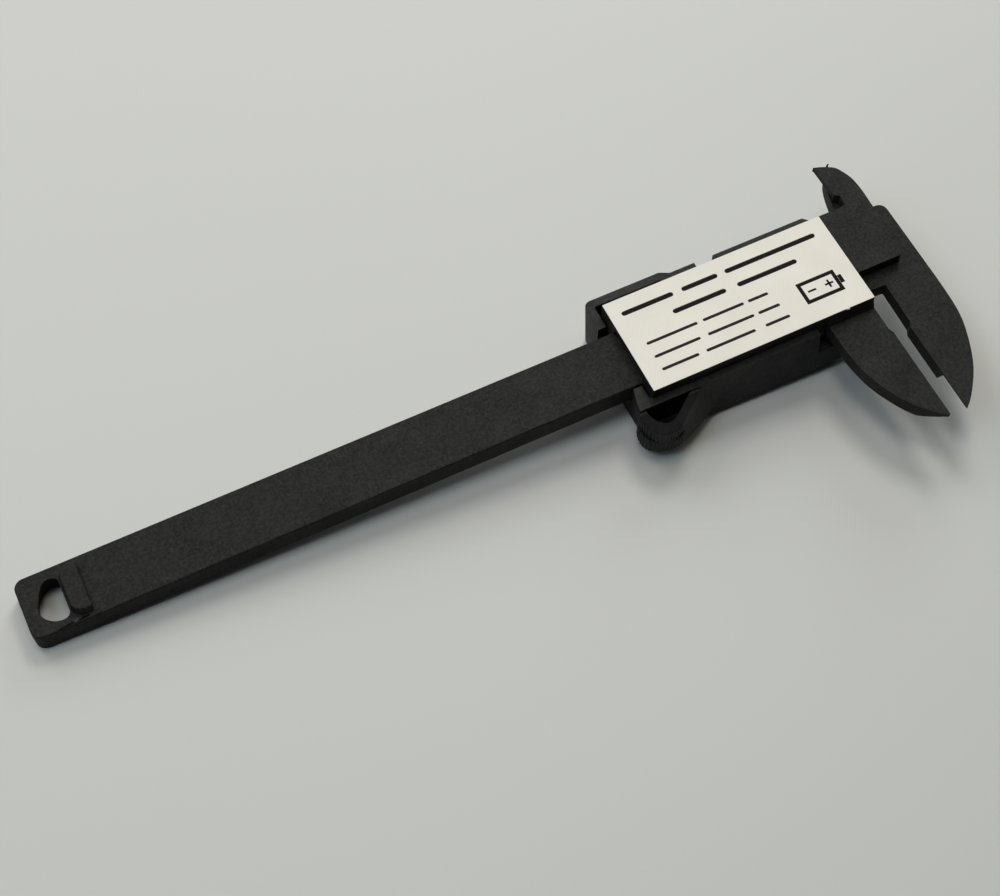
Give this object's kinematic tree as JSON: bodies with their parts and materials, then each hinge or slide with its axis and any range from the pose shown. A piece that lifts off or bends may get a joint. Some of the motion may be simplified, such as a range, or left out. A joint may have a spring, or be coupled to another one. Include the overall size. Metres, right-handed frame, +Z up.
{
  "type": "digital caliper",
  "caption": "Digital caliper: a display slider runs on a flat beam with outside and inside jaws, push buttons, a thumb grip and a slide-off battery cover.",
  "frame": {"origin": "bottom centre of the whole part's bounding box in the rest pose, on the plane that the front face of the housing rests on", "axes": "+Z up out of the back of the caliper (the label side), +X along the beam towards the fixed head, +Y towards the inside jaws"},
  "size_m": [0.2338, 0.0758, 0.017],
  "materials": {
    "body_plastic": "matt moulded charcoal plastic filled with short fibres, fine mottled grain",
    "housing_plastic": "matt moulded charcoal plastic",
    "button_plastic": "satin grey moulded plastic",
    "label_film": "satin silver-white printed film",
    "ruler_film": "satin silver film with printed graduations",
    "scale_laminate": "glass-fibre laminate with solder mask",
    "lens_clear": "clear moulded window, polished",
    "display_glass": "grey-green liquid crystal glass",
    "elastomer": "striped silicone elastomer",
    "board_laminate": "green glass-fibre circuit board",
    "chip_resin": "black encapsulating resin",
    "component_body": "small moulded and ceramic component bodies",
    "spring_steel": "bright stamped spring steel",
    "screw_steel": "zinc plated steel",
    "cell_can": "bright nickel plated can"
  },
  "bodies": {
    "beam": {"beam_with_fixed_jaws": "body_plastic", "end_stop": "body_plastic", "scale_strip": "scale_laminate", "scale_ruler_film": "ruler_film"},
    "slider": {"slider_frame": "body_plastic", "rear_label": "label_film", "front_housing": "housing_plastic", "display_lens": "lens_clear", "display_module": "display_glass", "zebra_connector": "elastomer", "main_board": "board_laminate", "controller_chip": "chip_resin", "board_components": "component_body", "switch_domes": "spring_steel", "board_screws": "screw_steel", "housing_screws": "screw_steel", "button_cell": "cell_can", "cell_contact_negative": "spring_steel", "cell_contact_positive": "spring_steel"},
    "cover": {"battery_cover": "housing_plastic"},
    "key_units": {"button_units": "button_plastic"},
    "key_power": {"button_power": "button_plastic"},
    "key_zero": {"button_zero": "button_plastic"}
  },
  "joints": [
    {"name": "slider_travel", "type": "slide", "parent": "beam", "child": "slider", "axis": [-1, 0, 0], "range_m": [-0.0045, 0.1455]},
    {"name": "cover_slide", "type": "slide", "parent": "slider", "child": "cover", "axis": [1, 0, 0], "range_m": [0, 0.018]},
    {"name": "press_units", "type": "slide", "parent": "slider", "child": "key_units", "axis": [0, 0, 1], "range_m": [0, 0.00045], "stiffness_N_per_m": 2000},
    {"name": "press_power", "type": "slide", "parent": "slider", "child": "key_power", "axis": [0, 0, 1], "range_m": [0, 0.00045], "stiffness_N_per_m": 2000},
    {"name": "press_zero", "type": "slide", "parent": "slider", "child": "key_zero", "axis": [0, 0, 1], "range_m": [0, 0.00045], "stiffness_N_per_m": 2000}
  ]
}
